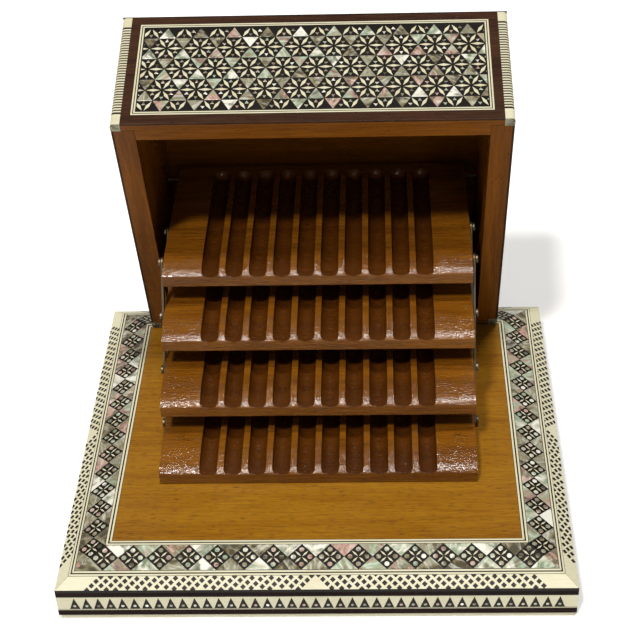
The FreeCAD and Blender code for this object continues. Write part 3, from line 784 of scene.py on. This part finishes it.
def draw_pearl_band(along, run, width):
    """Squares on their corners, each with four pearl dots and a bone star."""
    bones, pearls = Marquetry(), Marquetry()
    centre_line = along - run / 2
    count = round(2 * centre_line / run)
    pitch = 2 * centre_line / count
    middle, quarter = width / 2, width / 4
    for i in range(count + 1):
        x = i * pitch - centre_line
        tall, wide = (quarter - TIP_GAP) * 4 / 3, (pitch - SIDE_GAP) / math.sqrt(3)
        pearls.tile(3, x, tall / 2 + EDGE_GAP, tall, wide)
        if 0 < i < count:
            pearls.tile(3, x, width - tall / 2 - EDGE_GAP, tall, wide, turn=math.pi)
        if i == count:
            break
        x += pitch / 2
        for quarter_turn in range(4):
            turn = quarter_turn * math.pi / 2
            aim = Vector((math.cos(turn), math.sin(turn)))
            pearls.tile(8, x + DOT_OUT * aim.x, middle + DOT_OUT * aim.y, DOT_REACH)
            slant = turn + math.pi / 4
            aim = Vector((math.cos(slant), math.sin(slant)))
            bones.tile(4, x + LEAF_OUT * aim.x, middle + LEAF_OUT * aim.y, LEAF_REACH,
                       HALF_LEAF, turn=slant - math.pi / 2)
    return {"bone": bones, "pearl": pearls}


print("dots and leaves of a square, mm out:", DOT_OUT, LEAF_OUT)

# %% [markdown]
# ## The lattice
# The lattice is bone with strips of black and white checks let into it on a slant. It
# leans one way on one half of a side and the other way on the other half, and a plain
# bone triangle covers the place where they meet. Plain blocks close the corners. A
# worker glued the checks by eye, so each strip starts at its own height.

# %% Draw the lattice band
CHECK_STEP = 1.88
CHECK_REACH = 1.25
STRIP_PITCH = 4.0
STRIP_LEAN = 1.0
CORNER_BLOCK = 12.5
TRIANGLE_CLEAR, BLOCK_CLEAR = 1.3, 1.1
LOWEST_CHECK, OVERRUN = 0.1, 0.5


def draw_lattice(along, run, width):
    """One bone sheet, with strips of black checks that lean both ways from its middle."""
    bones, blacks = Marquetry(), Marquetry()
    bones.strip((-along, along), (0, width), tint=0.25)
    half_triangle = width * STRIP_LEAN
    first, last = half_triangle + TRIANGLE_CLEAR, along - CORNER_BLOCK - BLOCK_CLEAR
    strips = round((last - first) / STRIP_PITCH)
    pitch = (last - first) / strips
    for sign in (-1, 1):
        for i in range(strips + 1):
            foot, rise = last - i * pitch, random.uniform(LOWEST_CHECK, CHECK_STEP)
            while rise < width + OVERRUN:
                x = sign * (foot - rise * STRIP_LEAN)
                blacks.tile(4, x, rise, CHECK_REACH, CHECK_REACH * STRIP_LEAN, tint=0.5)
                rise += CHECK_STEP
    return {"bone": bones, "ebony": blacks}


print("check step and strip pitch, mm:", CHECK_STEP, STRIP_PITCH)

# %% [markdown]
# ## The border of the base
# The heights and widths of the bands are read from the CAD pieces, so the tiles sit on
# them wherever they are. The base's bands are placed from the world's own axes.

# %% Border of the base
EBONY_PROUDER = 0.04
FINISHES = {"bone": bone, "pearl": pearl, "ebony": ebony}
HEIGHTS = {"bone": PROUD, "pearl": PROUD, "ebony": PROUD + EBONY_PROUDER}


def lay_border(prefix, root, bands, body):
    """Draw, cut and raise all four sides of each band of (half_x, half_y, top, ...)."""
    for name, drawing, half_x, half_y, top, run, drop, slot in bands:
        sheets = {}
        for side in range(4):
            place, along, width = band_side(root, side, half_x, half_y, top, run, drop)
            for kind, maker in drawing(along, run, width).items():
                cut_mitres(maker, along, run, width)
                sheet = sheets.setdefault(kind, new_sheet())
                raise_tiles(maker, sheet, place, HEIGHTS[kind])
        for kind, sheet in sheets.items():
            lay(sheet, "_".join((prefix, name, kind)), FINISHES[kind], body)


line_low, line_high = box_of("field_line_front")
sheet_thick = line_high.z - line_low.z
BASE_BANDS = [("field_line", draw_line, "line_inlay"),
              ("pearl_band", draw_pearl_band, "pearl_mosaic"),
              ("outer_line", draw_line, "line_inlay"),
              ("lattice_band", draw_lattice, "bone_wood")]
base_bands = []
for name, drawing, slot in BASE_BANDS:
    low, high = box_of(name + "_front")
    top, drop = low.z + sheet_thick, high.z - low.z - sheet_thick
    base_bands.append((name, drawing, high.x, -low.y, top, high.y - low.y, drop, slot))
lay_border("base", Matrix.Identity(4), base_bands, "base")

# %% [markdown]
# ## The border of the top
# The top of the case has the same four bands, flat, and they are placed from the tipped
# case. Its lattice starts a little in from the edge, which leaves a thin dark line.

# %% Border of the top
TOP_EDGE = 0.6
lattice_low, lattice_high = box_of("top_lattice", tipped)
centre_y = (lattice_low.y + lattice_high.y) / 2
top_root = tipped @ Matrix.Translation(Vector((0, centre_y, 0)) * MM)
TOP_BANDS = [("lattice", draw_lattice, "bone_wood"),
             ("outer_line", draw_line, "line_inlay"),
             ("pearl_band", draw_pearl_band, "pearl_mosaic"),
             ("inner_line", draw_line, "line_inlay")]
edges = [box_of("top_" + name, tipped)[1] for name, _, _ in TOP_BANDS]
edges.append(box_of("top_mosaic", tipped)[1])
top_bands = []
for (name, drawing, slot), outer, inner in zip(TOP_BANDS, edges, edges[1:]):
    lip = TOP_EDGE if name == "lattice" else 0
    top_bands.append((name, drawing, outer.x - lip, outer.y - centre_y - lip, outer.z,
                      outer.x - inner.x - lip, 0.0, slot))
lay_border("top", top_root, top_bands, "case")

# %% [markdown]
# ## Stars on the top
# The panel inside the top's border has the stars of the walls. The border already gives
# it its lines, so the field is drawn wider by the room that a wall's lines take.

# %% Stars on the top of the case
inner = edges[-1]
bones, pearls = star_field(inner.x + LINE_BORDER, inner.y - centre_y + LINE_BORDER)
place = top_root @ Matrix.Translation((0, 0, inner.z * MM))
for maker, kind in ((bones, "bone"), (pearls, "pearl")):
    sheet = new_sheet()
    raise_tiles(maker, sheet, place, PROUD)
    lay(sheet, "stars_top_" + kind, FINISHES[kind], "case")

# %% [markdown]
# ## The edge of the base
# A strip of black triangles with pearl dots runs round the edge of the base, point up,
# between thin black lines. The strip ends in plain bone before each corner.

# %% Triangles round the edge
TRIANGLE_BASE, TRIANGLE_TALL, TRIANGLE_PITCH = 4.5, 6.4, 5.1
TRIANGLE_FOOT = 0.75
EDGE_DOT_HEIGHT, EDGE_DOT_REACH = 1.75, 0.72
LOW_LINE, HIGH_LINE_FOOT = (0.4, 0.55), 7.8
EDGE_PROUD, EDGE_DOT_PROUD, EDGE_SHOULDER = 0.04, 0.09, 0.05
PLAIN_END = 5.3
edge_low, edge_high = box_of("edge_inlay_front")
edge_blacks, edge_pearls = new_sheet(), new_sheet()
for side in range(4):
    out, along = ((-edge_low.y, edge_high.x) if side % 2 == 0
                  else (edge_high.x, -edge_low.y))
    place = (Matrix.Rotation(side * math.pi / 2, 4, "Z")
             @ Matrix.Translation(Vector((0, -out, edge_low.z)) * MM)
             @ Matrix.Rotation(math.pi / 2, 4, "X"))
    blacks, pearls = Marquetry(), Marquetry()
    reach = along - PLAIN_END - TRIANGLE_BASE / 2
    gaps = round(2 * reach / TRIANGLE_PITCH)
    tall, wide = TRIANGLE_TALL * 2 / 3, TRIANGLE_BASE / math.sqrt(3)
    for i in range(gaps + 1):
        x = reach * (2 * i / gaps - 1)
        blacks.tile(3, x, TRIANGLE_FOOT + tall / 2, tall, wide, tint=0.5)
        pearls.tile(7, x, TRIANGLE_FOOT + EDGE_DOT_HEIGHT, EDGE_DOT_REACH)
    for heights in (LOW_LINE, (HIGH_LINE_FOOT, edge_high.z - edge_low.z)):
        blacks.strip((MITRE_GAP - along, along - MITRE_GAP), heights, tint=0.5)
    raise_tiles(blacks, edge_blacks, place, EDGE_PROUD, EDGE_SHOULDER)
    raise_tiles(pearls, edge_pearls, place, EDGE_DOT_PROUD, EDGE_SHOULDER)
lay(edge_blacks, "edge_triangles", ebony, "base")
lay(edge_pearls, "edge_dots", pearl, "base")

# %% [markdown]
# ## Striped corners
# The upright corners of the case are rounded sticks of cream and black slips, with a
# plain cream block at each end. The CAD stick is the black core. Its cream slips are
# copies of one block, which is rounded on its outer corner and spaced up the stick.

# %% Bone slips up the corners
SLIP_PITCH, SLIP_TALL, SLIP_WIDER = 1.6, 0.86, 0.12
END_BLOCK, CORNER_ROUND = 6.0, 1.8
for corner in ("front_left", "front_right", "back_left", "back_right"):
    low, high = box_of("corner_bead_" + corner, tipped)
    out_x = 1 if corner.endswith("right") else -1
    out_y = 1 if corner.startswith("back") else -1
    slips = new_sheet()
    slip_tint = slips.verts.layers.float["tint"]
    middle = (low + high) / 2
    count = int((high.z - low.z - 2 * END_BLOCK) / SLIP_PITCH)
    start = middle.z - (count - 1) * SLIP_PITCH / 2
    spans = [(start + i * SLIP_PITCH, SLIP_TALL) for i in range(count)]
    spans += [(low.z + END_BLOCK / 2, END_BLOCK), (high.z - END_BLOCK / 2, END_BLOCK)]
    for height, tall in spans:
        size = Vector((high.x - low.x + SLIP_WIDER, high.y - low.y + SLIP_WIDER, tall))
        place = Matrix.Translation((middle.x, middle.y, height)) @ Matrix.Diagonal(
            (*size, 1))
        block = bmesh.ops.create_cube(slips, size=1, matrix=place)
        shade = random.random()
        for vert in block["verts"]:
            vert[slip_tint] = shade
        outer = [edge for edge in {e for v in block["verts"] for e in v.link_edges}
                 if all((v.co.x - middle.x) * out_x > 0
                        and (v.co.y - middle.y) * out_y > 0 for v in edge.verts)]
        bmesh.ops.bevel(slips, geom=outer, offset=CORNER_ROUND, segments=5, profile=0.5,
                        affect="EDGES", material=-1)
    bmesh.ops.transform(slips, verts=slips.verts, matrix=tipped @ Matrix.Scale(MM, 4))
    lay(slips, "slips_" + corner, bone, "case")

# %% [markdown]
# ## The floor
# The box stands on a plain pale sheet, far larger than the view. A faint speckle keeps
# it from being one flat colour.

# %% Floor
FLOOR_REACH = 4
floor_mesh = bpy.data.meshes.new("floor")
floor_sheet = bmesh.new()
bmesh.ops.create_grid(floor_sheet, x_segments=1, y_segments=1, size=FLOOR_REACH)
floor_sheet.to_mesh(floor_mesh)
floor_sheet.free()
floor = bpy.data.objects.new("floor", floor_mesh)
bpy.context.scene.collection.objects.link(floor)
floor_finish, tree, shader = new_material("pale_floor", Roughness=0.7)
speck = noise(tree, object_vector(tree), 30, 3)
tree.links.new(blend(tree, speck, (0.93, 0.93, 0.925, 1), (0.90, 0.90, 0.895, 1)),
               shader.inputs["Base Color"])
floor_mesh.materials.append(floor_finish)
print("floor reaches, m:", FLOOR_REACH)

# %% [markdown]
# ## The light
# Two lamps overhead, one a little in front of the other, throw the two steps of shadow
# that the case's rim leaves on the top tray. A weak third one in front and the pale
# world fill them. The lamps are suns, which light the whole floor evenly. The camera
# sees the world brighter than it shines, so that it is as pale as the floor.

# %% World and lamps
WORLD_SHINES, WORLD_LOOKS = 0.22, 1.1
LAMP_WIDTH = math.radians(6.6)
world = bpy.data.worlds.new("studio")
world.use_nodes = True
world.node_tree.nodes["Background"].inputs["Color"].default_value = (1, 0.99, 0.97, 1)
seen = add(world.node_tree, "ShaderNodeLightPath").outputs["Is Camera Ray"]
brightness = spread(world.node_tree, seen, 0, 1, WORLD_SHINES, WORLD_LOOKS)
world.node_tree.links.new(brightness,
                          world.node_tree.nodes["Background"].inputs["Strength"])
bpy.context.scene.world = world


def far_lamp(name, direction, strength, colour):
    """A sun that shines from one side, wide enough to give its shadows soft edges."""
    data = bpy.data.lights.new(name, "SUN")
    data.energy, data.color, data.angle = strength, colour, LAMP_WIDTH
    made = bpy.data.objects.new(name, data)
    made.location = Vector(direction).normalized() * 4
    made.rotation_euler = Vector(direction).to_track_quat("Z", "Y").to_euler()
    bpy.context.scene.collection.objects.link(made)


far_lamp("front_lamp", (-0.23, -0.46, 0.88), 2.75, (1, 0.97, 0.93))
far_lamp("over_lamp", (0.075, -0.09, 1.0), 1.85, (1, 0.98, 0.95))
far_lamp("fill_lamp", (0.3, -1.0, 0.5), 0.12, (1, 1, 1))
print("lamps:", len(bpy.data.lights))

# %% [markdown]
# ## The camera
# It stands in front of the box, a little to the right, and looks down at the open
# trays with a long lens, so that the sides of the case lean in only slightly.

# %% Camera
eye = bpy.data.cameras.new("camera")
eye.sensor_width = 36.0
eye.lens = 86.2
eye.shift_x = -0.02
eye.clip_start = 0.02
camera = bpy.data.objects.new("camera", eye)
camera.location = (0.0288, -0.5385, 0.5000)
camera.rotation_euler = [math.radians(a) for a in (52.42, 1.59, 1.05)]
bpy.context.scene.collection.objects.link(camera)
bpy.context.scene.camera = camera
bpy.context.scene.view_settings.view_transform = "Standard"
print("camera at:", camera.location[:])

# %% [markdown]
# ## The end
# Last, the scene is brought up to date. The decorated box may not grow past the CAD
# model, apart from the thin tiles.

# %% Finish
bpy.context.view_layer.update()
